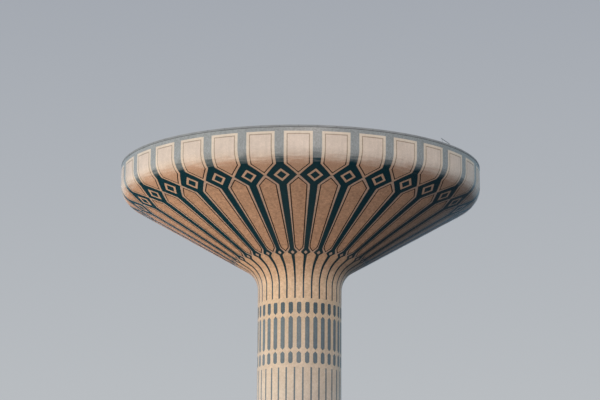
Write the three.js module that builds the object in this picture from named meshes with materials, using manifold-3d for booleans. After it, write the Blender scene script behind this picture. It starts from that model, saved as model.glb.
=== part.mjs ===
// Water tower at a scale of 1:2: a mushroom-shaped concrete tank on a round hollow shaft.
// Millimetres, +Z up. The origin is on the tower's axis at ground level, and the door faces -Y.
import * as THREE from "three";
import { mergeVertices } from "three/addons/utils/BufferGeometryUtils.js";
import Module from "manifold-3d";

// Driving dimensions of the whole tower.
const TOP_Z = 27380;
const RIM_RADIUS = 10000;
const RIM_WALL_HEIGHT = 1004;
const SHOULDER_RADIUS = 995;
const CONE_SLOPE_DEG = 29.9;
const NECK_RADIUS = 1392;
const SHAFT_RADIUS = 2304;
const SHAFT_WALL = 250;
const TANK_WALL = 180;

// Coping, roof and the parts that stand on them.
const COPING_HEIGHT = 95;
const COPING_OVERHANG = 12;
const ROOF_SEAT_DROP = 225;
const ROOF_LEDGE_WIDTH = 120;
const ROOF_THICKNESS = 75;
const ROOF_SLOPE_DEG = 5;
const VENT_RADIUS = 600;
const VENT_WALL = 80;
const VENT_HEIGHT = 260;
const VENT_CAP_OVERHANG = 120;
const VENT_CAP_EDGE = 40;
const VENT_CAP_RISE = 110;
const RAIL_BAR_RADIUS = 16;
const RAIL_FROM_DEG = 49.3;
const RAIL_TO_DEG = 53.7;
const RAIL_HIGH_END = 225;
const RAIL_LOW_END = 75;

// Base, floors and doorway.
const FOUNDATION_RADIUS = 5000;
const FOUNDATION_HEIGHT = 200;
const PLINTH_RADIUS = 3600;
const PLINTH_HEIGHT = 200;
const TANK_FLOOR_THICKNESS = 150;
const SHAFT_LIFT_Z = 10400;
const DOORWAY_WIDTH = 600;
const DOORWAY_HEIGHT = 1100;
const DOOR_FRAME_FACE = 40;
const DOOR_FRAME_DEPTH = 80;
const DOOR_REVEAL = 84;
const DOOR_LEAF_THICKNESS = 30;
const DOOR_GAP = 3;
const STEP_WIDTH = 1000;
const STEP_DEPTH = 200;

// Facets round the whole circle, steps round an arc, and the gap kept between neighbours.
const FACETS = 96;
const SHOULDER_STEPS = 6;
const NECK_STEPS = 7;
const GAP = 0.3;

// Places that follow from the sizes above.
const SLOPE = THREE.MathUtils.degToRad(CONE_SLOPE_DEG);
const RIM_TOP_Z = TOP_Z - COPING_HEIGHT;
const SHOULDER_Z = RIM_TOP_Z - RIM_WALL_HEIGHT;
const SHOULDER_CENTRE = new THREE.Vector2(RIM_RADIUS - SHOULDER_RADIUS, SHOULDER_Z);
const CONE_TOP = arcPoint(SHOULDER_CENTRE, SHOULDER_RADIUS, SLOPE - Math.PI / 2);
const NECK_CENTRE_R = SHAFT_RADIUS + NECK_RADIUS;
const CONE_FOOT_R = NECK_CENTRE_R - NECK_RADIUS * Math.sin(SLOPE);
const CONE_FOOT_Z = CONE_TOP.y - (CONE_TOP.x - CONE_FOOT_R) * Math.tan(SLOPE);
const NECK_FOOT_Z = CONE_FOOT_Z - NECK_RADIUS * Math.cos(SLOPE);
const NECK_CENTRE = new THREE.Vector2(NECK_CENTRE_R, NECK_FOOT_Z);
const ROOF_SEAT_Z = RIM_TOP_Z - ROOF_SEAT_DROP;
const PLINTH_TOP_Z = FOUNDATION_HEIGHT + PLINTH_HEIGHT;
const DOOR_HEAD_Z = PLINTH_TOP_Z + DOORWAY_HEIGHT;

const QUARTERS = ["front", "right", "back", "left"];
const EIGHTHS = [
  "front", "front_right", "right", "back_right", "back", "back_left", "left", "front_left",
];

const MATERIALS = {
  mosaic: { color: 0xcbb294, roughness: 0.4, metalness: 0 },
  coping: { color: 0x7d8285, roughness: 0.6, metalness: 0 },
  roof: { color: 0xb9b4aa, roughness: 0.9, metalness: 0 },
  concrete: { color: 0xa8a297, roughness: 0.9, metalness: 0 },
  door_paint: { color: 0x2f4a52, roughness: 0.5, metalness: 0.2 },
  galvanised: { color: 0x8b9094, roughness: 0.45, metalness: 0.8 },
};

const wasm = await Module();
wasm.setup();

const tower = new THREE.Group();

function addPiece(name, finish, geometry) {
  const piece = new THREE.Mesh(geometry, new THREE.MeshStandardMaterial(MATERIALS[finish]));
  piece.name = name;
  tower.add(piece);
  return piece;
}

// A point at an angle round a centre, in the plane of radius (x) and height (y).
function arcPoint(centre, radius, angle) {
  return new THREE.Vector2(
    centre.x + radius * Math.cos(angle),
    centre.y + radius * Math.sin(angle),
  );
}

function arcPoints(centre, radius, from, to, steps) {
  return Array.from({ length: steps + 1 }, (_, i) =>
    arcPoint(centre, radius, from + ((to - from) * i) / steps),
  );
}

// Turns a closed outline of (radius, height) points round the tower's axis. Angles are in degrees
// from the front (-Y) towards +X. A part turn gets an end face at both ends.
function turned(outline, fromDeg = 0, toDeg = 360) {
  const points = THREE.ShapeUtils.isClockWise(outline) ? [...outline].reverse() : outline;
  const steps = Math.round((FACETS * (toDeg - fromDeg)) / 360);
  const from = THREE.MathUtils.degToRad(fromDeg);
  const sweep = THREE.MathUtils.degToRad(toDeg - fromDeg);
  const lathe = new THREE.LatheGeometry([...points, points[0]], steps, from, sweep);
  const faces = Array.from(lathe.index.array);
  if (toDeg - fromDeg < 359) {
    const lastSlice = steps * (points.length + 1);
    for (const [a, b, c] of THREE.ShapeUtils.triangulateShape(points, [])) {
      faces.push(a, b, c);
      faces.push(lastSlice + c, lastSlice + b, lastSlice + a);
    }
  }
  lathe.setIndex(faces);
  return welded(lathe).rotateX(Math.PI / 2);
}

function welded(geometry) {
  geometry.deleteAttribute("normal");
  geometry.deleteAttribute("uv");
  return mergeVertices(geometry, 0.001);
}

// One quarter or eighth of a turned wall, with half a gap taken off each end.
function wallSegment(outline, index, count) {
  const width = 360 / count;
  const nearest = Math.min(...outline.map((point) => point.x));
  const trim = THREE.MathUtils.radToDeg(GAP / 2 / nearest);
  return turned(outline, (index - 0.5) * width + trim, (index + 0.5) * width - trim);
}

function toSolid(geometry) {
  return new wasm.Manifold(
    new wasm.Mesh({
      numProp: 3,
      vertProperties: geometry.attributes.position.array,
      triVerts: new Uint32Array(geometry.index.array),
    }),
  );
}

function toGeometry(solid) {
  const mesh = solid.getMesh();
  const geometry = new THREE.BufferGeometry();
  geometry.setAttribute("position", new THREE.BufferAttribute(mesh.vertProperties, 3));
  geometry.setIndex(new THREE.BufferAttribute(mesh.triVerts, 1));
  return geometry;
}

function block(x0, x1, y0, y1, z0, z1) {
  const geometry = new THREE.BoxGeometry(x1 - x0, y1 - y0, z1 - z0);
  return welded(geometry.translate((x0 + x1) / 2, (y0 + y1) / 2, (z0 + z1) / 2));
}

function disc(radius, z0, z1) {
  const geometry = new THREE.CylinderGeometry(radius, radius, z1 - z0, FACETS);
  return welded(geometry.rotateX(Math.PI / 2).translate(0, 0, (z0 + z1) / 2));
}

function rectangle(r0, r1, z0, z1) {
  return [
    new THREE.Vector2(r0, z0),
    new THREE.Vector2(r1, z0),
    new THREE.Vector2(r1, z1),
    new THREE.Vector2(r0, z1),
  ];
}

// Base: a round foundation that spreads the load, and a narrower plinth on it. The plinth's top is
// also the floor inside the shaft.
function addBase() {
  addPiece("foundation", "concrete", disc(FOUNDATION_RADIUS, 0, FOUNDATION_HEIGHT));
  addPiece("plinth", "concrete", disc(PLINTH_RADIUS, FOUNDATION_HEIGHT + GAP, PLINTH_TOP_Z));
}

// A step half as high as the round tier that it leans on, hollowed to the tier's curve.
function addStep(name, tierRadius, z0, tierHeight) {
  const z1 = z0 + tierHeight / 2;
  const half = STEP_WIDTH / 2;
  const front = -tierRadius - STEP_DEPTH;
  const slab = block(-half, half, front, STEP_DEPTH - tierRadius, z0, z1);
  const tierSpace = disc(tierRadius + GAP, z0 - tierHeight, z0 + tierHeight);
  addPiece(name, "concrete", toGeometry(toSolid(slab).subtract(toSolid(tierSpace))));
}

// Lower lift of the shaft: three plain quarters, and a front one split beside and over the doorway.
function addLowerShaft() {
  const z0 = PLINTH_TOP_Z + GAP;
  const outline = rectangle(SHAFT_RADIUS - SHAFT_WALL, SHAFT_RADIUS, z0, SHAFT_LIFT_Z);
  QUARTERS.forEach((side, index) => {
    if (side !== "front") {
      addPiece(`shaft_lower_${side}`, "mosaic", wallSegment(outline, index, QUARTERS.length));
    }
  });
  const front = toSolid(wallSegment(outline, 0, QUARTERS.length));
  const half = DOORWAY_WIDTH / 2;
  const far = 2 * SHAFT_RADIUS;
  const leftOf = block(-far, -half, -far, 0, 0, TOP_Z);
  const rightOf = block(half, far, -far, 0, 0, TOP_Z);
  const over = block(GAP - half, half - GAP, -far, 0, DOOR_HEAD_Z, TOP_Z);
  addPiece("shaft_lower_front_left", "mosaic", toGeometry(front.intersect(toSolid(leftOf))));
  addPiece("shaft_lower_front_right", "mosaic", toGeometry(front.intersect(toSolid(rightOf))));
  addPiece("shaft_over_door", "mosaic", toGeometry(front.intersect(toSolid(over))));
}

function addUpperShaft() {
  const outline = rectangle(
    SHAFT_RADIUS - SHAFT_WALL, SHAFT_RADIUS, SHAFT_LIFT_Z + GAP, NECK_FOOT_Z,
  );
  QUARTERS.forEach((side, index) => {
    addPiece(`shaft_upper_${side}`, "mosaic", wallSegment(outline, index, QUARTERS.length));
  });
}

// Flared neck between the shaft and the cone: a quarter circle outside, with a thinner wall
// than the shaft, which leaves a ledge for the tank's floor.
function addNeck() {
  const foot = Math.PI - Math.asin(GAP / NECK_RADIUS);
  const head = Math.PI / 2 + SLOPE;
  const outer = arcPoints(NECK_CENTRE, NECK_RADIUS, foot, head, NECK_STEPS);
  const inner = arcPoints(NECK_CENTRE, NECK_RADIUS + TANK_WALL, foot, head, NECK_STEPS);
  inner[0].y = outer[0].y;
  const outline = [...outer, ...inner.reverse()];
  QUARTERS.forEach((side, index) => {
    addPiece(`neck_${side}`, "mosaic", wallSegment(outline, index, QUARTERS.length));
  });
}

function addTankFloor() {
  const z0 = NECK_FOOT_Z + GAP;
  const radius = SHAFT_RADIUS - TANK_WALL - GAP;
  addPiece("tank_floor", "concrete", disc(radius, z0, z0 + TANK_FLOOR_THICKNESS));
}

// Cone: the straight sloping underside of the tank, held between the neck and the shoulder.
function addCone() {
  const along = new THREE.Vector2(Math.cos(SLOPE), Math.sin(SLOPE));
  const inward = new THREE.Vector2(-Math.sin(SLOPE), Math.cos(SLOPE)).multiplyScalar(TANK_WALL);
  const foot = new THREE.Vector2(CONE_FOOT_R, CONE_FOOT_Z).addScaledVector(along, GAP);
  const head = CONE_TOP.clone().addScaledVector(along, -GAP);
  const outline = [foot, head, head.clone().add(inward), foot.clone().add(inward)];
  EIGHTHS.forEach((side, index) => {
    addPiece(`cone_${side}`, "mosaic", wallSegment(outline, index, EIGHTHS.length));
  });
}

// Rim wall: upright, with a rounded shoulder below and a ledge inside that the roof rests on.
function addRim() {
  const end = SLOPE - Math.PI / 2;
  const inner = RIM_RADIUS - TANK_WALL;
  const outline = [
    new THREE.Vector2(RIM_RADIUS, RIM_TOP_Z),
    ...arcPoints(SHOULDER_CENTRE, SHOULDER_RADIUS, 0, end, SHOULDER_STEPS),
    ...arcPoints(SHOULDER_CENTRE, SHOULDER_RADIUS - TANK_WALL, end, 0, SHOULDER_STEPS),
    new THREE.Vector2(inner, ROOF_SEAT_Z - 2 * ROOF_LEDGE_WIDTH),
    new THREE.Vector2(inner - ROOF_LEDGE_WIDTH, ROOF_SEAT_Z - ROOF_LEDGE_WIDTH),
    new THREE.Vector2(inner - ROOF_LEDGE_WIDTH, ROOF_SEAT_Z),
    new THREE.Vector2(inner, ROOF_SEAT_Z),
    new THREE.Vector2(inner, RIM_TOP_Z),
  ];
  EIGHTHS.forEach((side, index) => {
    addPiece(`rim_${side}`, "mosaic", wallSegment(outline, index, EIGHTHS.length));
  });
}

function addCoping() {
  const outline = rectangle(
    RIM_RADIUS - TANK_WALL - COPING_OVERHANG, RIM_RADIUS + COPING_OVERHANG, RIM_TOP_Z + GAP, TOP_Z,
  );
  addPiece("rim_coping", "coping", turned(outline));
}

// Roof: a shallow cone of four slabs that fall to the rim, with a round opening in the middle.
function addRoof() {
  const fall = Math.tan(THREE.MathUtils.degToRad(ROOF_SLOPE_DEG));
  const edge = RIM_RADIUS - TANK_WALL - GAP;
  const seatEnd = edge - ROOF_LEDGE_WIDTH;
  const z0 = ROOF_SEAT_Z + GAP;
  const crown = (edge - VENT_RADIUS) * fall;
  const outline = [
    new THREE.Vector2(edge, z0),
    new THREE.Vector2(edge, z0 + ROOF_THICKNESS),
    new THREE.Vector2(VENT_RADIUS, z0 + ROOF_THICKNESS + crown),
    new THREE.Vector2(VENT_RADIUS, z0 + crown),
    new THREE.Vector2(seatEnd, z0),
  ];
  QUARTERS.forEach((side, index) => {
    addPiece(`roof_${side}`, "roof", wallSegment(outline, index, QUARTERS.length));
  });
  return z0 + crown;
}

// Vent: a curb that lines the opening in the roof, and a shallow conical cap on it.
function addVent(roofUndersideZ) {
  const outer = VENT_RADIUS - GAP;
  const curbTop = roofUndersideZ + ROOF_THICKNESS + VENT_HEIGHT;
  addPiece(
    "vent_curb", "concrete", turned(rectangle(outer - VENT_WALL, outer, roofUndersideZ, curbTop)),
  );
  const cap = new THREE.LatheGeometry(
    [
      new THREE.Vector2(0, curbTop + GAP),
      new THREE.Vector2(outer + VENT_CAP_OVERHANG, curbTop + GAP),
      new THREE.Vector2(outer + VENT_CAP_OVERHANG, curbTop + GAP + VENT_CAP_EDGE),
      new THREE.Vector2(0, curbTop + GAP + VENT_CAP_EDGE + VENT_CAP_RISE),
    ],
    FACETS / 2,
  );
  addPiece("vent_cap", "galvanised", welded(cap).rotateX(Math.PI / 2));
}

// A bar of eight sides from one point to another.
function bar(start, end) {
  const along = new THREE.Vector3().subVectors(end, start);
  const geometry = new THREE.CylinderGeometry(RAIL_BAR_RADIUS, RAIL_BAR_RADIUS, along.length(), 8);
  geometry.applyQuaternion(
    new THREE.Quaternion().setFromUnitVectors(new THREE.Vector3(0, 1, 0), along.clone().normalize()),
  );
  geometry.translate(...start.clone().add(end).multiplyScalar(0.5).toArray());
  return toSolid(welded(geometry));
}

// Handrail: a sloping bar on two posts that stand on the coping, where the roof is reached.
function addHandrail() {
  const radius = RIM_RADIUS - TANK_WALL / 2;
  const at = (degrees, height) => {
    const angle = THREE.MathUtils.degToRad(degrees);
    return new THREE.Vector3(
      radius * Math.sin(angle), -radius * Math.cos(angle), TOP_Z + height,
    );
  };
  const rail = bar(at(RAIL_FROM_DEG, RAIL_HIGH_END), at(RAIL_TO_DEG, RAIL_LOW_END));
  const posts = [0.12, 0.88].map((share) => {
    const degrees = THREE.MathUtils.lerp(RAIL_FROM_DEG, RAIL_TO_DEG, share);
    const height = THREE.MathUtils.lerp(RAIL_HIGH_END, RAIL_LOW_END, share);
    return bar(at(degrees, GAP), at(degrees, height));
  });
  addPiece("roof_handrail", "galvanised", toGeometry(rail.add(posts[0]).add(posts[1])));
}

// Door: a steel frame set back in the doorway, and a plain leaf in it.
function addDoor() {
  const half = DOORWAY_WIDTH / 2 - GAP;
  const z0 = PLINTH_TOP_Z + GAP;
  const z1 = DOOR_HEAD_Z - GAP;
  const frame = new THREE.Shape([
    new THREE.Vector2(-half, z0),
    new THREE.Vector2(half, z0),
    new THREE.Vector2(half, z1),
    new THREE.Vector2(-half, z1),
  ]);
  const inner = half - DOOR_FRAME_FACE;
  frame.holes.push(
    new THREE.Path([
      new THREE.Vector2(-inner, z0 + DOOR_FRAME_FACE),
      new THREE.Vector2(-inner, z1 - DOOR_FRAME_FACE),
      new THREE.Vector2(inner, z1 - DOOR_FRAME_FACE),
      new THREE.Vector2(inner, z0 + DOOR_FRAME_FACE),
    ]),
  );
  const frontY = DOOR_REVEAL - SHAFT_RADIUS;
  const geometry = new THREE.ExtrudeGeometry(frame, {
    depth: DOOR_FRAME_DEPTH, bevelEnabled: false, steps: 1,
  });
  geometry.rotateX(Math.PI / 2).translate(0, frontY + DOOR_FRAME_DEPTH, 0);
  addPiece("door_frame", "door_paint", welded(geometry));

  const leafY = frontY + (DOOR_FRAME_DEPTH - DOOR_LEAF_THICKNESS) / 2;
  addPiece("door_leaf", "door_paint", block(
    GAP - inner, inner - DOOR_GAP, leafY, leafY + DOOR_LEAF_THICKNESS,
    z0 + DOOR_FRAME_FACE + GAP, z1 - DOOR_FRAME_FACE - DOOR_GAP,
  ));
}

addBase();
addStep("entry_step_low", FOUNDATION_RADIUS, 0, FOUNDATION_HEIGHT);
addStep("entry_step_high", PLINTH_RADIUS, FOUNDATION_HEIGHT + GAP, PLINTH_HEIGHT);
addLowerShaft();
addUpperShaft();
addNeck();
addTankFloor();
addCone();
addRim();
addCoping();
const roofUndersideZ = addRoof();
addVent(roofUndersideZ);
addHandrail();
addDoor();

export default tower;
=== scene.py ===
from math import cos, floor, hypot, pi, radians, sin, tan

import bmesh
import bpy
from mathutils import Matrix, Vector


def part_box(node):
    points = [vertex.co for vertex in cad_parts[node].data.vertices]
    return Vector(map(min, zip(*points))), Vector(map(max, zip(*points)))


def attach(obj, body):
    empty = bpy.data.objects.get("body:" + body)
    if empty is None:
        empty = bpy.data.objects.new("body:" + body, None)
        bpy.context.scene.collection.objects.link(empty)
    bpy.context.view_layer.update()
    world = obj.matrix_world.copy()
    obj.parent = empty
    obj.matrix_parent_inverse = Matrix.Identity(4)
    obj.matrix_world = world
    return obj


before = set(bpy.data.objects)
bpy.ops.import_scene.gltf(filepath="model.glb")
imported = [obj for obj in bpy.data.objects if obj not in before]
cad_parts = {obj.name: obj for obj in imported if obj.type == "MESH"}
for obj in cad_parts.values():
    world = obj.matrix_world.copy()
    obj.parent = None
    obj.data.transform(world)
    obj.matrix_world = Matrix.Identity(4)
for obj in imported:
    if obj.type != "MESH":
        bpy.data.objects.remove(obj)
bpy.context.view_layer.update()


# Foundation, plinth and entry steps: precast concrete slabs laid in rings on a round concrete
# base, with open joints between them. They are bedded in mortar and stay in their CAD shape.
def linear(hex_colour):
    """An sRGB hex colour as the linear RGBA that a shader takes."""
    channels = [int(hex_colour[i:i + 2], 16) / 255 for i in (0, 2, 4)]
    return *[c / 12.92 if c <= 0.04045 else ((c + 0.055) / 1.055) ** 2.4 for c in channels], 1


def add_node(tree, kind, inputs=None, **settings):
    """Adds one node with its settings, and links or sets its inputs."""
    node = tree.nodes.new(kind)
    for name, value in settings.items():
        setattr(node, name, value)
    for key, value in (inputs or {}).items():
        if isinstance(value, bpy.types.NodeSocket):
            tree.links.new(value, node.inputs[key])
        else:
            node.inputs[key].default_value = value
    return node


def start_material(name, **constants):
    """A new material and its shader. What is the same all over is set on the shader itself."""
    material = bpy.data.materials.new(name)
    material.use_nodes = True
    tree = material.node_tree
    tree.nodes.clear()
    shader = add_node(tree, "ShaderNodeBsdfPrincipled", constants)
    add_node(tree, "ShaderNodeOutputMaterial", {"Surface": shader.outputs["BSDF"]})
    return material, tree, shader


def tinted(tree, colour, by, amount):
    """The colour, made lighter and darker by a 0 to 1 pattern, up to amount either way."""
    strength = add_node(tree, "ShaderNodeMapRange", {
        "Value": by, "To Min": 1 - amount, "To Max": 1 + amount,
    })
    shade = add_node(tree, "ShaderNodeVectorMath", {
        0: colour, "Scale": strength.outputs["Result"],
    }, operation="SCALE")
    return shade.outputs["Vector"]


def joint_lines(tree, value, spacing, width):
    """1 in a joint of that width, once every spacing of value, and 0 between the joints."""
    wrapped = add_node(tree, "ShaderNodeMath", {0: value, 1: spacing}, operation="FLOORED_MODULO")
    in_joint = add_node(tree, "ShaderNodeMath", {
        0: wrapped.outputs[0], 1: width,
    }, operation="LESS_THAN")
    return in_joint.outputs[0]


PAVING_WIDTH = 0.35
PAVING_JOINT = 0.012
PAVINGS_ROUND = 72
PAVING_JOINT_TURN = 0.0005


def paving_concrete():
    """Precast concrete: matt, pale grey-brown and finely pitted, with darker open joints. The
    clouds are 1.1 m wide. At this scale the joints are 5 mm and the grit 3 mm, too fine to show,
    so they are drawn 12 mm and 22 mm wide. A noise's scale is its patches to the metre."""
    material, tree, shader = start_material("precast_concrete_paving", Roughness=0.88)
    place = add_node(tree, "ShaderNodeTexCoord").outputs["Object"]
    cloud = add_node(tree, "ShaderNodeTexNoise", {"Vector": place, "Scale": 0.9, "Detail": 5})
    grit = add_node(tree, "ShaderNodeTexNoise", {"Vector": place, "Scale": 45, "Detail": 3})
    flat = add_node(tree, "ShaderNodeVectorMath", {0: place, 1: (1, 1, 0)}, operation="MULTIPLY")
    radius = add_node(tree, "ShaderNodeVectorMath", {0: flat.outputs[0]}, operation="LENGTH")
    turn = add_node(tree, "ShaderNodeTexGradient", {"Vector": place}, gradient_type="RADIAL")
    ring = joint_lines(tree, radius.outputs["Value"], PAVING_WIDTH, PAVING_JOINT)
    spoke = joint_lines(tree, turn.outputs["Fac"], 1 / PAVINGS_ROUND, PAVING_JOINT_TURN)
    joint = add_node(tree, "ShaderNodeMath", {0: ring, 1: spoke}, operation="MAXIMUM")
    base = add_node(tree, "ShaderNodeMix", {
        "Factor": cloud.outputs["Fac"], "A": linear("a39b8e"), "B": linear("c3bbac"),
    }, data_type="RGBA")
    worn = tinted(tree, base.outputs["Result"], grit.outputs["Fac"], 0.22)
    colour = add_node(tree, "ShaderNodeMix", {
        "Factor": joint.outputs[0], "A": worn, "B": linear("5b564e"),
    }, data_type="RGBA")
    relief = add_node(tree, "ShaderNodeMath", {
        0: grit.outputs["Fac"], 1: joint.outputs[0],
    }, operation="SUBTRACT")
    bump = add_node(tree, "ShaderNodeBump", {
        "Height": relief.outputs[0], "Strength": 0.5, "Distance": 0.004,
    })
    tree.links.new(colour.outputs["Result"], shader.inputs["Base Color"])
    tree.links.new(bump.outputs["Normal"], shader.inputs["Normal"])
    return material


def finish_nodes(material, *names):
    """Gives CAD nodes their material."""
    for name in names:
        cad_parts[name].material_slots[0].material = material


finish_nodes(paving_concrete(), "foundation", "plinth", "entry_step_low", "entry_step_high")


# Walls of the shaft, neck, cone and rim, and the tank's floor: reinforced concrete cast against
# boards in lifts. The mosaic covers them outside, so the bare concrete shows only from inside.
BOARD_WIDTH = 0.1
BOARD_LINE = 0.004


def cast_concrete():
    """Board-marked concrete: matt grey, with level board lines and damp clouds 1.4 m wide. Its
    pores are under 5 mm, too fine to show, so they are drawn 33 mm wide."""
    material, tree, shader = start_material("board_marked_concrete", Roughness=0.9)
    place = add_node(tree, "ShaderNodeTexCoord").outputs["Object"]
    cloud = add_node(tree, "ShaderNodeTexNoise", {"Vector": place, "Scale": 0.7, "Detail": 6})
    pores = add_node(tree, "ShaderNodeTexNoise", {"Vector": place, "Scale": 30, "Detail": 2})
    height = add_node(tree, "ShaderNodeSeparateXYZ", {"Vector": place}).outputs["Z"]
    board = joint_lines(tree, height, BOARD_WIDTH, BOARD_LINE)
    base = add_node(tree, "ShaderNodeMix", {
        "Factor": cloud.outputs["Fac"], "A": linear("8d8a84"), "B": linear("b2aea6"),
    }, data_type="RGBA")
    colour = tinted(tree, base.outputs["Result"], pores.outputs["Fac"], 0.18)
    relief = add_node(tree, "ShaderNodeMath", {
        0: pores.outputs["Fac"], 1: board,
    }, operation="SUBTRACT")
    bump = add_node(tree, "ShaderNodeBump", {
        "Height": relief.outputs[0], "Strength": 0.4, "Distance": 0.003,
    })
    tree.links.new(colour, shader.inputs["Base Color"])
    tree.links.new(bump.outputs["Normal"], shader.inputs["Normal"])
    return material


WALLS = ("shaft_", "neck_", "cone_", "rim_")
wall_nodes = [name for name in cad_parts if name.startswith(WALLS) and name != "rim_coping"]
finish_nodes(cast_concrete(), "tank_floor", *wall_nodes)


# Mosaic ground of the tank: glazed teal tesserae, set in a thin bed over the concrete from under
# the coping down to the end of the neck's ribs. One bay is made and laid 32 times round the axis.
BAYS = 32
HALF_BAY = pi / BAYS

# The concrete's profile, as in the CAD: upright rim, shoulder, cone, neck and shaft.
RIM_RADIUS = 10.0
PANEL_TOP_Z = 27.060
UPRIGHT_RUN = 0.779
SHOULDER_RADIUS = 0.995
SLOPE = radians(29.9)
NECK_RADIUS = 1.392
SHAFT_RADIUS = 2.304
BEND = pi / 2 - SLOPE
CONE_FROM = UPRIGHT_RUN + SHOULDER_RADIUS * BEND
CONE_TOP_R = RIM_RADIUS - SHOULDER_RADIUS * (1 - sin(SLOPE))
CONE_TOP_Z = PANEL_TOP_Z - UPRIGHT_RUN - SHOULDER_RADIUS * cos(SLOPE)
CONE_FOOT_R = SHAFT_RADIUS + NECK_RADIUS * (1 - sin(SLOPE))
NECK_FROM = CONE_FROM + (CONE_TOP_R - CONE_FOOT_R) / cos(SLOPE)
SHAFT_FROM = NECK_FROM + NECK_RADIUS * BEND
NECK_FOOT_Z = CONE_TOP_Z - (CONE_TOP_R - CONE_FOOT_R) * tan(SLOPE) - NECK_RADIUS * cos(SLOPE)


def surface(run):
    """Radius, height and outward direction of the tower's skin at a run, which is the distance
    down along the surface from the top of the rim's panels."""
    if run <= UPRIGHT_RUN:
        return RIM_RADIUS, PANEL_TOP_Z - run, 1, 0
    if run <= CONE_FROM:
        turn = (run - UPRIGHT_RUN) / SHOULDER_RADIUS
        radius = RIM_RADIUS - SHOULDER_RADIUS * (1 - cos(turn))
        height = PANEL_TOP_Z - UPRIGHT_RUN - SHOULDER_RADIUS * sin(turn)
        return radius, height, cos(turn), -sin(turn)
    if run <= NECK_FROM:
        along = run - CONE_FROM
        radius = CONE_TOP_R - along * cos(SLOPE)
        height = CONE_TOP_Z - along * sin(SLOPE)
        return radius, height, sin(SLOPE), -cos(SLOPE)
    if run <= SHAFT_FROM:
        turn = SLOPE + (run - NECK_FROM) / NECK_RADIUS
        radius = SHAFT_RADIUS + NECK_RADIUS * (1 - sin(turn))
        height = NECK_FOOT_Z + NECK_RADIUS * cos(turn)
        return radius, height, sin(turn), -cos(turn)
    return SHAFT_RADIUS, NECK_FOOT_Z - (run - SHAFT_FROM), 1, 0


def run_at(height):
    """The run at a height on the shaft."""
    return SHAFT_FROM + NECK_FOOT_Z - height


SHOULDER_FACETS = 12
CONE_FACETS = 10
NECK_FACETS = 15
HALF_BAY_FACETS = 4
NEARLY_ZERO = 1e-6


def spaced(start, length, count):
    """The runs that part a length into that many equal facets, with both ends."""
    return [start + length * i / count for i in range(count + 1)]


def grid_runs(first, last):
    """Runs where every layer is creased, so that all layers follow the same facets."""
    shoulder = spaced(UPRIGHT_RUN, SHOULDER_RADIUS * BEND, SHOULDER_FACETS)
    cone = spaced(CONE_FROM, NECK_FROM - CONE_FROM, CONE_FACETS)[1:-1]
    neck = spaced(NECK_FROM, NECK_RADIUS * BEND, NECK_FACETS)
    return [run for run in shoulder + cone + neck if first < run < last]


def laid(name, outlines, low, high, open_sides=False):
    """Lays flat outlines of (angle, run) on the tower as closed slabs, from low to high metres
    over the concrete, and unwraps them in metres. Open sides leave out the two end faces."""
    # The outlines' faces, cut along the common grid.
    flat = bmesh.new()
    for outline in outlines:
        flat.faces.new([flat.verts.new((angle, run, high)) for angle, run in outline])
    bmesh.ops.recalc_face_normals(flat, faces=flat.faces)
    bmesh.ops.reverse_faces(flat, faces=[f for f in flat.faces if f.normal.z < 0])
    first, last = min(v.co.x for v in flat.verts), max(v.co.x for v in flat.verts)
    top_run, foot_run = min(v.co.y for v in flat.verts), max(v.co.y for v in flat.verts)
    column = HALF_BAY / HALF_BAY_FACETS
    angles = [column * i for i in range(floor(first / column) + 1, floor(last / column) + 1)]
    cuts = [((angle, 0, 0), (1, 0, 0)) for angle in angles if angle < last - NEARLY_ZERO]
    cuts += [((0, run, 0), (0, 1, 0)) for run in grid_runs(top_run, foot_run)]
    for point, direction in cuts:
        bmesh.ops.bisect_plane(
            flat, geom=flat.verts[:] + flat.edges[:] + flat.faces[:], dist=NEARLY_ZERO,
            plane_co=point, plane_no=direction,
        )
    # A twin of them at the foot of the layer, and the sides between the two.
    top = flat.faces[:]
    edge_loops = [e.link_loops[0] for e in flat.edges if e.is_boundary]
    border = [(loop.vert, loop.link_loop_next.vert) for loop in edge_loops]
    copied = bmesh.ops.duplicate(flat, geom=flat.verts[:] + flat.edges[:] + top)
    twin = copied["vert_map"]
    bottom = [f for f in copied["geom"] if isinstance(f, bmesh.types.BMFace)]
    bmesh.ops.reverse_faces(flat, faces=bottom)
    for vert in {v for f in bottom for v in f.verts}:
        vert.co.z = low
    for a, b in border:
        off_end = min(abs(a.co.x - end) + abs(b.co.x - end) for end in (first, last))
        if not (open_sides and off_end < NEARLY_ZERO):
            flat.faces.new((b, a, twin[a], twin[b]))
    # Down the tower is +run in the flat layout, which mirrors it, so every face is turned.
    bmesh.ops.reverse_faces(flat, faces=flat.faces)
    # Unwrapped in metres while the layout is flat, and then wrapped on the tower.
    places = {vert: vert.co.copy() for vert in flat.verts}
    unwrap = flat.loops.layers.uv.new("UVMap")
    for face in flat.faces:
        for loop in face.loops:
            angle, run, _ = places[loop.vert]
            loop[unwrap].uv = (angle * surface(run)[0], -run)
    for vert, (angle, run, lift) in places.items():
        radius, height, out, up = surface(run)
        reach = radius + out * lift
        vert.co = (reach * sin(angle), -reach * cos(angle), height + up * lift)
    mesh = bpy.data.meshes.new(name)
    flat.to_mesh(mesh)
    flat.free()
    piece = bpy.data.objects.new(name, mesh)
    bpy.context.scene.collection.objects.link(piece)
    return piece


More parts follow.
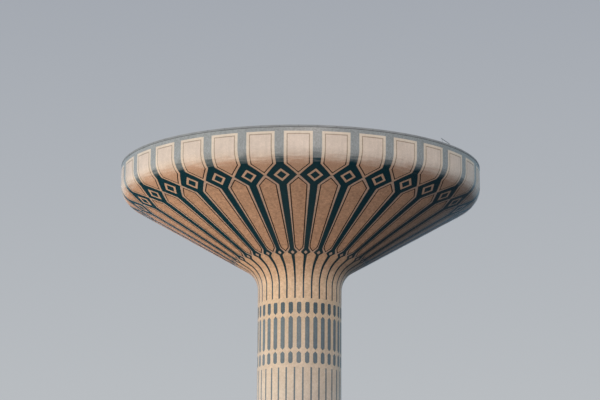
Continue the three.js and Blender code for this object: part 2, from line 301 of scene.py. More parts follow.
def round_the_axis():
    """Geometry Nodes: one bay's mesh, laid again and again round the tower's axis."""
    tree = bpy.data.node_groups.new("round_the_axis", "GeometryNodeTree")
    for name, kind in [("Bay", "Geometry"), ("Bays", "Int"), ("Pitch", "Float"),
                       ("Join within", "Float"), ("Finish", "Material")]:
        tree.interface.new_socket(name, in_out="INPUT", socket_type=f"NodeSocket{kind}")
    tree.interface.new_socket("Ring", in_out="OUTPUT", socket_type="NodeSocketGeometry")
    given = add_node(tree, "NodeGroupInput").outputs
    place = add_node(tree, "GeometryNodePoints", {"Count": given["Bays"]})
    number = add_node(tree, "GeometryNodeInputIndex")
    turn = add_node(tree, "ShaderNodeMath", {
        0: number.outputs["Index"], 1: given["Pitch"],
    }, operation="MULTIPLY")
    facing = add_node(tree, "FunctionNodeAxisAngleToRotation", {
        "Axis": (0, 0, 1), "Angle": turn.outputs[0],
    })
    bays = add_node(tree, "GeometryNodeInstanceOnPoints", {
        "Points": place.outputs[0], "Instance": given["Bay"],
        "Rotation": facing.outputs["Rotation"],
    })
    ring = add_node(tree, "GeometryNodeRealizeInstances", {"Geometry": bays.outputs["Instances"]})
    joined = add_node(tree, "GeometryNodeMergeByDistance", {
        "Geometry": ring.outputs["Geometry"], "Distance": given["Join within"],
    })
    finished = add_node(tree, "GeometryNodeSetMaterial", {
        "Geometry": joined.outputs["Geometry"], "Material": given["Finish"],
    })
    add_node(tree, "NodeGroupOutput", {"Ring": finished.outputs["Geometry"]})
    return tree


def set_inputs(modifier, values):
    """Sets a Geometry Nodes modifier's inputs by their names in the tree."""
    for item in modifier.node_group.interface.items_tree:
        if item.in_out == "INPUT" and item.name in values:
            modifier[item.identifier] = values[item.name]


SHARP_FROM = radians(32)


def apply_modifiers(piece):
    """Turns a piece and its modifiers into a plain mesh, shaded smooth but for its edges."""
    shown = piece.evaluated_get(bpy.context.evaluated_depsgraph_get())
    mesh = bpy.data.meshes.new_from_object(shown)
    piece.modifiers.clear()
    piece.data = mesh
    mesh.shade_smooth()
    mesh.set_sharp_from_angle(angle=SHARP_FROM)


ROUND_THE_AXIS = round_the_axis()
JOIN_WITHIN = 0.0001


def ring_of(bay, finish, bays=BAYS):
    """Lays a bay round the axis, and hands the ring to the tower."""
    bay.data.materials.append(finish)
    modifier = bay.modifiers.new("round_the_axis", "NODES")
    modifier.node_group = ROUND_THE_AXIS
    set_inputs(modifier, {
        "Bays": bays, "Pitch": 2 * pi / bays, "Join within": JOIN_WITHIN, "Finish": finish,
    })
    apply_modifiers(bay)
    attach(bay, "root")


TESSERA = 0.05
GROUT_HALF_WIDTH = 0.003
GROUT_ROUGHNESS = 0.85
CLOUDY = 0.15
STREAKY = 0.1
SUNLIGHT_RAGGED_BY = 0.16
SUNLIGHT_STREAKED_BY = 0.35


def glazed_mosaic(name, light, dark, grout, roughness=0.45, mottled=0.2, painted_sunlight=None):
    """Glazed tesserae: glossy squares that differ a little in colour, in matt grout. The real
    ones are 12 mm at this scale with 1 mm of grout, too fine to show, so they are drawn 50 mm
    wide with 6 mm of grout. Damp clouds are 770 mm wide, patches of a few tesserae 140 mm, and
    rain streaks 140 mm by 2 m. Mottled is how much the patches differ. Painted sunlight gives
    three colours that draw the tiles as they look lit by sun, lighter than in shade, and the
    heights where this painted light starts and is full, with ragged streaks 110 mm high between."""
    # A fresh glaze has an IOR of about 1.5, and this weathered one throws back a little less.
    material, tree, shader = start_material(name, IOR=1.4)
    place = add_node(tree, "ShaderNodeTexCoord").outputs["Object"]
    flat = add_node(tree, "ShaderNodeUVMap", uv_map="UVMap").outputs["UV"]
    colours = [linear(light), linear(dark), linear(grout)]
    # Painted light: between the two heights the colours turn into their sunlit copies, so the
    # tiles are drawn lit on one side and shaded on the other.
    if painted_sunlight:
        *sunlit_colours, sunlight_from, sunlight_full = painted_sunlight
        height = add_node(tree, "ShaderNodeSeparateXYZ", {"Vector": place}).outputs["Z"]
        ragged = add_node(tree, "ShaderNodeTexNoise", {"Vector": place, "Scale": 3, "Detail": 4})
        level = add_node(tree, "ShaderNodeMapping", {"Vector": place, "Scale": (1, 1, 9)})
        courses = add_node(tree, "ShaderNodeTexNoise", {
            "Vector": level.outputs["Vector"], "Scale": 1, "Detail": 3,
        })
        streaked = add_node(tree, "ShaderNodeMapRange", {
            "Value": courses.outputs["Fac"],
            "To Min": -SUNLIGHT_STREAKED_BY, "To Max": SUNLIGHT_STREAKED_BY,
        })
        uneven = add_node(tree, "ShaderNodeMath", {
            0: ragged.outputs["Fac"], 1: SUNLIGHT_RAGGED_BY, 2: streaked.outputs["Result"],
        }, operation="MULTIPLY_ADD")
        edge = add_node(tree, "ShaderNodeMath", {0: uneven.outputs[0], 1: height})
        sunlit_share = add_node(tree, "ShaderNodeMapRange", {
            "Value": edge.outputs[0], "From Min": sunlight_from, "From Max": sunlight_full,
        }).outputs["Result"]
        colours = [
            add_node(tree, "ShaderNodeMix", {
                "Factor": sunlit_share, "A": shaded, "B": linear(sunlit),
            }, data_type="RGBA").outputs["Result"]
            for shaded, sunlit in zip(colours, sunlit_colours)
        ]
    tile = add_node(tree, "ShaderNodeTexBrick", {
        "Vector": flat, "Color1": colours[0], "Color2": colours[1], "Mortar": colours[2],
        "Scale": 1, "Mortar Size": GROUT_HALF_WIDTH, "Mortar Smooth": 0.2, "Brick Width": TESSERA,
        "Row Height": TESSERA,
    }, offset=0, squash=1)
    cloud = add_node(tree, "ShaderNodeTexNoise", {"Vector": place, "Scale": 1.3, "Detail": 5})
    drawn_out = add_node(tree, "ShaderNodeMapping", {"Vector": flat, "Scale": (7, 0.5, 1)})
    streak = add_node(tree, "ShaderNodeTexNoise", {
        "Vector": drawn_out.outputs["Vector"], "Scale": 1, "Detail": 4,
    })
    patch = add_node(tree, "ShaderNodeTexNoise", {"Vector": place, "Scale": 7, "Detail": 2})
    colour = tinted(tree, tile.outputs["Color"], cloud.outputs["Fac"], CLOUDY)
    colour = tinted(tree, colour, patch.outputs["Fac"], mottled)
    colour = tinted(tree, colour, streak.outputs["Fac"], STREAKY)
    gloss = add_node(tree, "ShaderNodeMapRange", {
        "Value": tile.outputs["Fac"], "To Min": roughness, "To Max": GROUT_ROUGHNESS,
    })
    bump = add_node(tree, "ShaderNodeBump", {
        "Height": tile.outputs["Fac"], "Strength": 0.6, "Distance": 0.002,
    }, invert=True)
    tree.links.new(colour, shader.inputs["Base Color"])
    tree.links.new(gloss.outputs["Result"], shader.inputs["Roughness"])
    tree.links.new(bump.outputs["Normal"], shader.inputs["Normal"])
    return material


def band(from_angle, to_angle, from_run, to_run):
    """A four-sided outline."""
    return [(from_angle, from_run), (to_angle, from_run), (to_angle, to_run), (from_angle, to_run)]


COPING_RUN = -0.2245
RIBS_END = 11.515
GROUND_LAYER = (0.001, 0.006)
# Painted sunlight: above the shoulder the teal is drawn pale grey, as the glaze looks lit by sun
# and sky. Under the shoulder it keeps its colour in shade.
teal_mosaic = glazed_mosaic(
    "teal_glazed_mosaic", "04323e", "032732", "0f3037", roughness=0.4,
    painted_sunlight=("858b8c", "999e9f", "777d7d", 25.6, 26.05),
)
tank_ground = laid(
    "tank_mosaic_ground", [band(-HALF_BAY, HALF_BAY, COPING_RUN, RIBS_END)], *GROUND_LAYER,
    open_sides=True,
)
ring_of(tank_ground, teal_mosaic)


# Panels of the rim: a beige field with a thin brown line round it, in a cream border. Each is
# set flush in the mosaic ground, upright under the coping and folded under at the shoulder.
def mirrored(right_side):
    """An outline from its right side, which runs down from the top as (half angle, run)."""
    left_side = [(-angle, run) for angle, run in reversed(right_side) if angle > 0]
    return [*right_side, *left_side]


def inset(outline, distance):
    """The outline with every side moved in by a distance in metres."""
    flat = [(angle * surface(run)[0], run) for angle, run in outline]
    # Each side is the line in_x * x + in_y * y = reach, which moves in as its reach grows.
    sides = []
    for (x0, y0), (x1, y1) in zip(flat, flat[1:] + flat[:1]):
        length = hypot(x1 - x0, y1 - y0)
        in_x, in_y = (y0 - y1) / length, (x1 - x0) / length
        sides.append((in_x, in_y, in_x * x0 + in_y * y0 + distance))
    # The new corners are where each moved side crosses the one before it.
    moved = []
    for (ax, ay, a), (bx, by, b) in zip(sides[-1:] + sides[:-1], sides):
        cross = ax * by - ay * bx
        x, run = (a * by - b * ay) / cross, (ax * b - bx * a) / cross
        moved.append((x / surface(run)[0], run))
    return moved


LINE_HALF_WIDTH = 0.029

# The real tesserae lie flush. Here each layer stands up to 2 mm over the one that it lies on.
BORDER_LAYER = (0.005, 0.008)
LINE_LAYER = (0.007, 0.0095)
FIELD_LAYER = (0.009, 0.011)

# Painted sunlight: the rim's panels are drawn in lighter sunlit colours above the shoulder's
# shade. It starts at the first height on the shoulder and is full at the second.
SHOULDER_SUNLIGHT = (25.55, 26.0)
cream_mosaic = glazed_mosaic(
    "cream_glazed_mosaic", "bfa28f", "b39581", "a48d7d", mottled=0.08,
    painted_sunlight=("d8cbba", "d1c4b3", "beb2a3", *SHOULDER_SUNLIGHT),
)
beige_mosaic = glazed_mosaic(
    "beige_glazed_mosaic", "bc9b87", "ad8c76", "a08673", mottled=0.08,
    painted_sunlight=("d4c5b7", "ccbdaf", "bcaea1", *SHOULDER_SUNLIGHT),
)
brown_mosaic = glazed_mosaic(
    "brown_glazed_mosaic", "24140f", "190e0a", "281d18",
    painted_sunlight=("a99988", "9d8d7c", "998a7a", *SHOULDER_SUNLIGHT),
)
rim_panel = mirrored([(0.0742, 0), (0.0742, 0.9), (0.0767, 1.745), (0.0064, 2.585)])
rim_line = mirrored([(0.0573, 0.15), (0.0573, 0.9), (0.0594, 1.73), (0, 2.4)])
ring_of(laid("rim_panel_borders", [rim_panel], *BORDER_LAYER), cream_mosaic)
ring_of(
    laid("rim_panel_lines", [inset(rim_line, -LINE_HALF_WIDTH)], *LINE_LAYER),
    brown_mosaic,
)
ring_of(
    laid("rim_panel_fields", [inset(rim_line, LINE_HALF_WIDTH)], *FIELD_LAYER),
    beige_mosaic,
)


# Diamonds under the rim: a cream mosaic frame with a dark teal centre, one on every rib between
# two panels. They are set in the same bed as the panels, with their points on the rib's middle.
RIM_DIAMOND_RUN = 2.59


def diamond(centre_run, half_width, half_run):
    """A diamond on a rib, half a bay to the right of the panel's middle."""
    half_angle = half_width / surface(centre_run)[0]
    return [
        (HALF_BAY, centre_run - half_run), (HALF_BAY + half_angle, centre_run),
        (HALF_BAY, centre_run + half_run), (HALF_BAY - half_angle, centre_run),
    ]


ring_of(
    laid("rim_diamond_frames", [diamond(RIM_DIAMOND_RUN, 0.418, 0.48)], *BORDER_LAYER),
    cream_mosaic,
)
ring_of(
    laid("rim_diamond_centres", [diamond(RIM_DIAMOND_RUN, 0.258, 0.29)], *LINE_LAYER),
    teal_mosaic,
)


# Panels of the cone: long tan mosaic fields that narrow with the cone, with a brown line and a
# pinkish cream border, pointed where they meet the rim's panels and the neck's. They are set in
# the same bed as the rim's. The fields' tan is partly the tiles' own colour and partly painted
# warm shade of the cone's underside.
# Partly painted shade: the fields' colours are drawn darker and warmer than the tiles, as the
# underside looks in warm shade.
tan_and_shade_mosaic = glazed_mosaic("tan_and_shade_glazed_mosaic", "b3937d", "a6846e", "a08069", mottled=0.5)
rose_mosaic = glazed_mosaic("rose_glazed_mosaic", "b59e92", "a89082", "9e8b7e", mottled=0.3)
cone_panel = mirrored([(0.0064, 2.595), (0.0735, 3.32), (0.0675, 8.32), (0.0223, 8.65)])
cone_line = mirrored([(0, 2.8), (0.054, 3.33), (0.054, 8.0), (0.047, 8.25), (0, 8.52)])
ring_of(laid("cone_panel_borders", [cone_panel], *BORDER_LAYER), rose_mosaic)
ring_of(
    laid("cone_panel_lines", [inset(cone_line, -LINE_HALF_WIDTH)], *LINE_LAYER),
    brown_mosaic,
)
ring_of(
    laid("cone_panel_fields", [inset(cone_line, LINE_HALF_WIDTH)], *FIELD_LAYER),
    tan_and_shade_mosaic,
)


# Neck: a small cream diamond on every rib where the cone ends, and tan panels that widen down
# the flare, until the teal ribs between them are thin stripes with flat ends. All are mosaic, set
# in the same bed. A rib is given by its half angle at each run.
NECK_RIB = [
    (8.85, 0.0275), (8.975, 0.0265), (9.3, 0.0248), (9.67, 0.0237), (9.98, 0.0208), (10.5, 0.0192),
    (RIBS_END, 0.0188),
]
# Painted light: the neck's tiles turn lighter and paler from 21.7 m down to 20.6 m, drawn as
# sunlit. The warmer colours above are their look in the cone's shade.
neck_mosaic = glazed_mosaic(
    "neck_glazed_mosaic", "c6a890", "b7977e", "ac917a", mottled=0.4,
    painted_sunlight=("c8b096", "bfa486", "b69d83", 21.7, 20.6),
)
neck_panel = mirrored([(0.0223, 8.65)] + [(HALF_BAY - rib, run) for run, rib in NECK_RIB])
ring_of(
    laid("neck_diamonds", [diamond(8.64, 0.097, 0.146)], *BORDER_LAYER),
    rose_mosaic,
)
ring_of(laid("neck_panels", [neck_panel], *BORDER_LAYER), neck_mosaic)


# Shaft: an ivory mosaic ground down to the plinth, left open round the doorway, with three rows
# of long slate-blue hexagons at the top and thin stripes below them, all set in the same bed.
STRIPE_HALF_ANGLE = 0.0195
STRIPES_FROM = 15.275
STRIPES_TO = run_at(2.3)
FOOT_BAND_FROM = run_at(1.9)
PLINTH_TOP_Z = 0.4
DOORWAY_TOP_Z = 1.505
DOORWAY_HALF_WIDTH = 0.305
# Painted light: the shaft's ground turns paler and greyer from 19.5 m down to 14.5 m, drawn as
# sunlit. The warmer colours above are its look in the warm shade under the bowl.
shaft_mosaic = glazed_mosaic(
    "ivory_glazed_mosaic", "c6b198", "bda588", "b29e85",
    painted_sunlight=("c5baad", "bcaf9f", "b0a596", 19.5, 14.5),
)
# Painted light: the hexagons and stripes turn lighter below 19.1 m and are full at 18.7 m, drawn
# as sunlit glaze with its sheen. The top row keeps the darker colours of the bowl's shade.
slate_mosaic = glazed_mosaic(
    "slate_glazed_mosaic", "475860", "394850", "435158", mottled=0.3,
    painted_sunlight=("616f76", "56636b", "5b676d", 19.1, 18.7),
)
shaft_ground = laid(
    "shaft_mosaic_ground", [band(-HALF_BAY, HALF_BAY, RIBS_END, FOOT_BAND_FROM)], *GROUND_LAYER,
    open_sides=True,
)
ring_of(shaft_ground, shaft_mosaic)
foot_run = run_at(PLINTH_TOP_Z)
door_run = run_at(DOORWAY_TOP_Z)
door_side = DOORWAY_HALF_WIDTH / SHAFT_RADIUS
round_the_doorway = mirrored([
    (pi, FOOT_BAND_FROM), (pi, foot_run), (door_side, foot_run), (door_side, door_run),
])
foot_band = laid("shaft_foot_band", [round_the_doorway], *GROUND_LAYER, open_sides=True)
ring_of(foot_band, shaft_mosaic, bays=1)
hexagon_rows = [
    mirrored([(0.035, 11.725), (0.053, 11.8), (0.053, 12.27), (0.005, 12.39)]),
    mirrored([(0.005, 12.485), (0.053, 12.605), (0.053, 14.2), (0.005, 14.315)]),
    mirrored([(0.005, 14.415), (0.053, 14.525), (0.053, 14.985), (0.024, 15.07)]),
]
ring_of(laid("shaft_hexagons", hexagon_rows, *BORDER_LAYER), slate_mosaic)
stripe = band(
    HALF_BAY - STRIPE_HALF_ANGLE, HALF_BAY + STRIPE_HALF_ANGLE, STRIPES_FROM, STRIPES_TO,
)
ring_of(laid("shaft_stripes", [stripe], *BORDER_LAYER), slate_mosaic)


# Coping: cast stone blocks laid round the rim in mortar, with one course of dark grey tesserae
# over the joint under them, partly the dark joint and partly painted shadow of the blocks' lip.
# They stand proud of the mosaic, so that rain drips clear of it.
COPING_BLOCKS = 64
COPING_JOINT_TURN = 0.0002
COPING_JOINT_SHADOW_HEIGHT = 0.028


def coping_stone():
    """Cast stone: matt grey, fine-grained, dirty in patches 600 mm wide, with mortar between the
    blocks of 1 m. Its joints are 5 mm and its grain 2 mm at this scale, too fine to show, so
    they are drawn 13 mm and 17 mm wide."""
    material, tree, shader = start_material("cast_stone_coping", Roughness=0.8)
    place = add_node(tree, "ShaderNodeTexCoord").outputs["Object"]
    cloud = add_node(tree, "ShaderNodeTexNoise", {"Vector": place, "Scale": 1.6, "Detail": 6})
    grain = add_node(tree, "ShaderNodeTexNoise", {"Vector": place, "Scale": 60, "Detail": 2})
    turn = add_node(tree, "ShaderNodeTexGradient", {"Vector": place}, gradient_type="RADIAL")
    joint = joint_lines(tree, turn.outputs["Fac"], 1 / COPING_BLOCKS, COPING_JOINT_TURN)
    base = add_node(tree, "ShaderNodeMix", {
        "Factor": cloud.outputs["Fac"], "A": linear("6f7477"), "B": linear("999d9e"),
    }, data_type="RGBA")
    worn = tinted(tree, base.outputs["Result"], grain.outputs["Fac"], 0.15)
    colour = add_node(tree, "ShaderNodeMix", {
        "Factor": joint, "A": worn, "B": linear("3f4345"),
    }, data_type="RGBA")
    bump = add_node(tree, "ShaderNodeBump", {
        "Height": grain.outputs["Fac"], "Strength": 0.4, "Distance": 0.002,
    })
    tree.links.new(colour.outputs["Result"], shader.inputs["Base Color"])
    tree.links.new(bump.outputs["Normal"], shader.inputs["Normal"])
    return material


finish_nodes(coping_stone(), "rim_coping")
# Partly a dark joint and partly painted shadow: a dark grey course drawn where the coping's lip
# casts its shadow line.
joint_and_shadow_mosaic = glazed_mosaic("joint_and_shadow_glazed_mosaic", "4a4d50", "3c3f42", "44474a", roughness=0.6)
coping_joint_and_shadow = laid(
    "coping_joint_and_shadow", [band(-HALF_BAY, HALF_BAY, COPING_RUN, COPING_RUN + COPING_JOINT_SHADOW_HEIGHT)],
    *BORDER_LAYER, open_sides=True,
)
ring_of(coping_joint_and_shadow, joint_and_shadow_mosaic)


# Roof: concrete slabs under pale mineral felt, bonded on in strips that fall to the rim. A round
# concrete curb carries the cap over the vent in the middle. The cap and the short handrail on the
# rim are galvanised steel, bolted down.
FELT_STRIPS = 48
FELT_SEAM_TURN = 0.0004


def roof_felt():
    """Mineral felt: matt pale grey, gritty, with lapped seams and ponding stains 2 m wide. Its
    seams are 10 mm and its grit 1 mm at this scale, too fine to show, so the seams are drawn
    25 mm wide at the rim and the grit 12 mm."""
    material, tree, shader = start_material("mineral_roof_felt", Roughness=0.92)
    place = add_node(tree, "ShaderNodeTexCoord").outputs["Object"]
    stain = add_node(tree, "ShaderNodeTexNoise", {"Vector": place, "Scale": 0.5, "Detail": 6})
    grit = add_node(tree, "ShaderNodeTexNoise", {"Vector": place, "Scale": 80, "Detail": 2})
    turn = add_node(tree, "ShaderNodeTexGradient", {"Vector": place}, gradient_type="RADIAL")
    seam = joint_lines(tree, turn.outputs["Fac"], 1 / FELT_STRIPS, FELT_SEAM_TURN)
    base = add_node(tree, "ShaderNodeMix", {
        "Factor": stain.outputs["Fac"], "A": linear("8f8c85"), "B": linear("bdb9b0"),
    }, data_type="RGBA")
    worn = tinted(tree, base.outputs["Result"], grit.outputs["Fac"], 0.2)
    colour = add_node(tree, "ShaderNodeMix", {
        "Factor": seam, "A": worn, "B": linear("6a6862"),
    }, data_type="RGBA")
    bump = add_node(tree, "ShaderNodeBump", {
        "Height": grit.outputs["Fac"], "Strength": 0.5, "Distance": 0.003,
    })
    tree.links.new(colour.outputs["Result"], shader.inputs["Base Color"])
    tree.links.new(bump.outputs["Normal"], shader.inputs["Normal"])
    return material


def galvanised_steel():
    """Hot-dip galvanised steel: dull metallic grey with soft spangle patches. They are 5 mm at
    this scale, too fine to show, so they are drawn 25 mm wide."""
    material, tree, shader = start_material("galvanised_steel", Metallic=0.9)
    place = add_node(tree, "ShaderNodeTexCoord").outputs["Object"]
    spangle = add_node(tree, "ShaderNodeTexVoronoi", {"Vector": place, "Scale": 40})
    base = add_node(tree, "ShaderNodeMix", {
        "Factor": spangle.outputs["Distance"], "A": linear("85898c"), "B": linear("a5a9ab"),
    }, data_type="RGBA")
    dull = add_node(tree, "ShaderNodeMapRange", {
        "Value": spangle.outputs["Distance"], "To Min": 0.5, "To Max": 0.68,
    })
    tree.links.new(base.outputs["Result"], shader.inputs["Base Color"])
    tree.links.new(dull.outputs["Result"], shader.inputs["Roughness"])
    return material


finish_nodes(roof_felt(), "roof_front", "roof_right", "roof_back", "roof_left")
finish_nodes(bpy.data.materials["board_marked_concrete"], "vent_curb")
finish_nodes(galvanised_steel(), "vent_cap", "roof_handrail")


# Door: a welded steel frame, fixed in the doorway, and a flush leaf of folded steel sheet in it.
# Both are brush-painted dark green-blue, as close to the teal mosaic as paint comes.
def door_paint():
    """Gloss paint on steel: dark green-blue, faded and dulled in patches 170 mm wide."""
    material, tree, shader = start_material("painted_steel", IOR=1.5)
    place = add_node(tree, "ShaderNodeTexCoord").outputs["Object"]
    cloud = add_node(tree, "ShaderNodeTexNoise", {"Vector": place, "Scale": 6, "Detail": 5})
    base = add_node(tree, "ShaderNodeMix", {
        "Factor": cloud.outputs["Fac"], "A": linear("24434a"), "B": linear("35565d"),
    }, data_type="RGBA")
    dull = add_node(tree, "ShaderNodeMapRange", {
        "Value": cloud.outputs["Fac"], "To Min": 0.35, "To Max": 0.6,
    })
    tree.links.new(base.outputs["Result"], shader.inputs["Base Color"])
    tree.links.new(dull.outputs["Result"], shader.inputs["Roughness"])
    return material


finish_nodes(door_paint(), "door_frame", "door_leaf")


# Door furniture: a stainless lever on a long plate at the right of the leaf, and three steel
# hinges down its left edge. The plate is screwed to the leaf, and the hinges are welded on.
def brushed_stainless():
    """Stainless steel, brushed upright: bright metal with drawn lines 80 mm long. They are
    0.1 mm wide, too fine to show, so they are drawn 1 mm wide."""
    material, tree, shader = start_material("brushed_stainless_steel", Metallic=1)
    place = add_node(tree, "ShaderNodeTexCoord").outputs["Object"]
    drawn_out = add_node(tree, "ShaderNodeMapping", {"Vector": place, "Scale": (900, 900, 12)})
    lines = add_node(tree, "ShaderNodeTexNoise", {
        "Vector": drawn_out.outputs["Vector"], "Scale": 1, "Detail": 2,
    })
    base = add_node(tree, "ShaderNodeMix", {
        "Factor": lines.outputs["Fac"], "A": linear("8f9294"), "B": linear("b4b7b8"),
    }, data_type="RGBA")
    dull = add_node(tree, "ShaderNodeMapRange", {
        "Value": lines.outputs["Fac"], "To Min": 0.25, "To Max": 0.45,
    })
    tree.links.new(base.outputs["Result"], shader.inputs["Base Color"])
    tree.links.new(dull.outputs["Result"], shader.inputs["Roughness"])
    return material


def block(mesh, low, high):
    """Adds a closed box between two corners."""
    middle = [(a + b) / 2 for a, b in zip(low, high)]
    size = [b - a for a, b in zip(low, high)]
    bmesh.ops.create_cube(mesh, size=1, matrix=Matrix.LocRotScale(middle, None, size))


def rod(mesh, start, end, radius):
    """Adds a closed round bar between two points."""
    along = Vector(end) - Vector(start)
    turned = along.to_track_quat("Z", "Y").to_matrix().to_4x4()
    bmesh.ops.create_cone(
        mesh, cap_ends=True, segments=20, radius1=radius, radius2=radius, depth=along.length,
        matrix=Matrix.Translation((Vector(start) + Vector(end)) / 2) @ turned,
    )


def hardware(name, mesh, finish, bevel):
    """Makes a small metal piece with softened edges, and hands it to the tower."""
    data = bpy.data.meshes.new(name)
    mesh.to_mesh(data)
    mesh.free()
    data.materials.append(finish)
    piece = bpy.data.objects.new(name, data)
    bpy.context.scene.collection.objects.link(piece)
    edges = piece.modifiers.new("soft_edges", "BEVEL")
    edges.width = bevel
    edges.segments = 2
    edges.limit_method = "ANGLE"
    apply_modifiers(piece)
    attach(piece, "root")


LEVER_FROM_EDGE = 0.036
LEVER_HEIGHT = 0.5
PLATE_HALF_WIDTH = 0.011
PLATE_THICKNESS = 0.003
PLATE_LET_IN = 0.0005
PLATE_OVER_LEVER = 0.03
PLATE_UNDER_LEVER = 0.072
SPINDLE_RADIUS = 0.0055
SPINDLE_STANDS_OUT = 0.024
GRIP_RADIUS = 0.005
GRIP_STANDS_OFF = 0.022
GRIP_TAIL = 0.005
GRIP_REACH = 0.062
LOCK_RADIUS = 0.0045
LOCK_UNDER_LEVER = 0.044
LOCK_STANDS_OUT = 0.0055
leaf_low, leaf_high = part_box("door_leaf")
front = leaf_low[1]
lever_x = leaf_high[0] - LEVER_FROM_EDGE
lever_z = leaf_low[2] + LEVER_HEIGHT
lock_z = lever_z - LOCK_UNDER_LEVER
in_plate = front - 0.002
spindle_end = front - SPINDLE_STANDS_OUT
lock_end = front - LOCK_STANDS_OUT
grip_y = front - GRIP_STANDS_OFF
lever = bmesh.new()
block(
    lever,
    (lever_x - PLATE_HALF_WIDTH, front - PLATE_THICKNESS, lever_z - PLATE_UNDER_LEVER),
    (lever_x + PLATE_HALF_WIDTH, front + PLATE_LET_IN, lever_z + PLATE_OVER_LEVER),
)
rod(lever, (lever_x, in_plate, lever_z), (lever_x, spindle_end, lever_z), SPINDLE_RADIUS)
rod(
    lever, (lever_x + GRIP_TAIL, grip_y, lever_z), (lever_x - GRIP_REACH, grip_y, lever_z),
    GRIP_RADIUS,
)
rod(lever, (lever_x, in_plate, lock_z), (lever_x, lock_end, lock_z), LOCK_RADIUS)
hardware("door_lever", lever, brushed_stainless(), bevel=0.0008)

HINGE_RADIUS = 0.0065
HINGE_HALF_HEIGHT = 0.03
HINGE_FROM_EDGE = 0.007
HINGE_STANDS_OFF = 0.006
HINGES_UP_THE_LEAF = (0.12, 0.5, 0.88)
hinge_x = leaf_low[0] + HINGE_FROM_EDGE
hinge_y = front - HINGE_STANDS_OFF
hinges = bmesh.new()
for sunlit_share in HINGES_UP_THE_LEAF:
    hinge_z = leaf_low[2] + sunlit_share * (leaf_high[2] - leaf_low[2])
    rod(
        hinges, (hinge_x, hinge_y, hinge_z - HINGE_HALF_HEIGHT),
        (hinge_x, hinge_y, hinge_z + HINGE_HALF_HEIGHT), HINGE_RADIUS,
    )
painted_steel = bpy.data.materials["painted_steel"]
hardware("door_hinges", hinges, painted_steel, bevel=0.001)


# Setting: a plain pale floor under an even pale backdrop. Soft low lights stand in front, at the
# left and behind, with a warm fill on the floor at the left. The camera is at eye height.
FLOOR_RADIUS = 260
scene = bpy.context.scene
bpy.ops.mesh.primitive_circle_add(vertices=128, radius=FLOOR_RADIUS, fill_type="NGON")
floor_disc = bpy.context.object
floor_disc.name = "studio_floor"
material, tree, shader = start_material("pale_studio_floor", Roughness=0.9)
# The floor is pale to look at, but throws back as little light on the tower as dark ground.
seen = add_node(tree, "ShaderNodeLightPath").outputs["Is Camera Ray"]
pale = add_node(tree, "ShaderNodeMix", {
    "Factor": seen, "A": linear("3c4652"), "B": linear("dfdcd7"),
}, data_type="RGBA")
tree.links.new(pale.outputs["Result"], shader.inputs["Base Color"])
floor_disc.data.materials.append(material)

# The backdrop pales towards its foot. The light that it casts on the tower is set apart from
# that: bluer at the left, stronger low down, and a softbox at the far left that only gloss shows.
SOFTBOX_GAIN = 1.4
scene.world = bpy.data.worlds.new("pale_backdrop")
scene.world.use_nodes = True
tree = scene.world.node_tree
tree.nodes.clear()
direction = add_node(tree, "ShaderNodeTexCoord").outputs["Generated"]
height = add_node(tree, "ShaderNodeSeparateXYZ", {"Vector": direction}).outputs["Z"]
raised = add_node(tree, "ShaderNodeMapRange", {
    "Value": height, "From Min": 0.12, "From Max": 0.32,
})
backdrop = add_node(tree, "ShaderNodeMix", {
    "Factor": raised.outputs["Result"], "A": linear("b9bdc1"), "B": linear("a4a9b1"),
}, data_type="RGBA")
low_glow = add_node(tree, "ShaderNodeMapRange", {
    "Value": height, "From Min": 0, "From Max": 0.45, "To Min": 2.0, "To Max": 0.6,
})
across = add_node(tree, "ShaderNodeSeparateXYZ", {"Vector": direction}).outputs["X"]
to_right = add_node(tree, "ShaderNodeMapRange", {"Value": across, "From Min": -1, "From Max": 1})
sky_light = add_node(tree, "ShaderNodeMix", {
    "Factor": to_right.outputs["Result"], "A": linear("6597c2"), "B": linear("98b1bf"),
}, data_type="RGBA")
ray = add_node(tree, "ShaderNodeLightPath").outputs
far_left = add_node(tree, "ShaderNodeMapRange", {
    "Value": across, "From Min": -0.5, "From Max": -1,
})
softbox = add_node(tree, "ShaderNodeMath", {
    0: far_left.outputs["Result"], 1: ray["Is Glossy Ray"],
}, operation="MULTIPLY")
brighter = add_node(tree, "ShaderNodeMath", {
    0: softbox.outputs[0], 1: SOFTBOX_GAIN, 2: 1,
}, operation="MULTIPLY_ADD")
cast = add_node(tree, "ShaderNodeMath", {
    0: low_glow.outputs["Result"], 1: brighter.outputs[0],
}, operation="MULTIPLY")
strength = add_node(tree, "ShaderNodeMix", {
    "Factor": ray["Is Camera Ray"], "A": cast.outputs[0], "B": 1.0,
})
cast_colour = add_node(tree, "ShaderNodeMix", {
    "Factor": softbox.outputs[0], "A": sky_light.outputs["Result"], "B": linear("ffffff"),
}, data_type="RGBA")
sky = add_node(tree, "ShaderNodeMix", {
    "Factor": ray["Is Camera Ray"], "A": cast_colour.outputs["Result"],
    "B": backdrop.outputs["Result"],
}, data_type="RGBA")
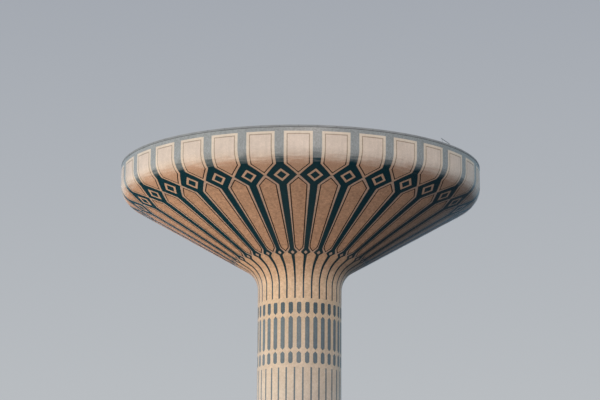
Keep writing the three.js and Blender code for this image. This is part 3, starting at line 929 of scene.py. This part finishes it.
light = add_node(tree, "ShaderNodeBackground", {
    "Color": sky.outputs["Result"], "Strength": strength.outputs["Result"],
})
add_node(tree, "ShaderNodeOutputWorld", {"Surface": light.outputs["Background"]})


def add_sun(name, energy, colour, spread, height, turn):
    """Adds a soft sun. Its spread, its height over the horizon and its turn to the right from
    straight behind the camera are in degrees."""
    sun = bpy.data.lights.new(name, "SUN")
    sun.energy = energy
    sun.color = linear(colour)[:3]
    sun.angle = radians(spread)
    lamp = bpy.data.objects.new(name, sun)
    lamp.rotation_euler = (radians(90 - height), 0, radians(turn))
    scene.collection.objects.link(lamp)


add_sun("soft_key", 2.1, "ffe7d5", spread=14, height=15, turn=5)

fill = bpy.data.lights.new("low_warm_fill", "AREA")
fill.shape = "DISK"
fill.size = 30
fill.energy = 14000
fill.color = linear("ffe8ca")[:3]
fill_light = bpy.data.objects.new("low_warm_fill", fill)
fill_light.location = (-27, -4, 0.05)
fill_light.rotation_euler = (pi, 0, 0)
fill_light.visible_camera = False
fill_light.visible_glossy = False
scene.collection.objects.link(fill_light)

add_sun("soft_side", 0.8, "fff7de", spread=25, height=12, turn=-50)
add_sun("soft_back", 1.2, "ffe6cc", spread=30, height=35, turn=180)

# The camera stands and looks as the photograph's did, in metres and radians from the axis.
EYE_DISTANCE = 109.19
EYE_HEIGHT = 0.802
EYE_OFF_AXIS = 0.0125
YAW = EYE_OFF_AXIS + 0.00018
PITCH_UP = 0.22419
ROLL = 0.00651
view = bpy.data.cameras.new("view")
view.sensor_width = 36
view.lens = 120.17
view.clip_end = 2000
camera = bpy.data.objects.new("view", view)
eye_x = EYE_DISTANCE * sin(EYE_OFF_AXIS)
eye_y = -EYE_DISTANCE * cos(EYE_OFF_AXIS)
camera.matrix_world = (
    Matrix.Translation((eye_x, eye_y, EYE_HEIGHT))
    @ Matrix.Rotation(YAW, 4, "Z")
    @ Matrix.Rotation(pi / 2 + PITCH_UP, 4, "X")
    @ Matrix.Rotation(ROLL, 4, "Z")
)
scene.collection.objects.link(camera)
scene.camera = camera
scene.view_settings.view_transform = "Standard"
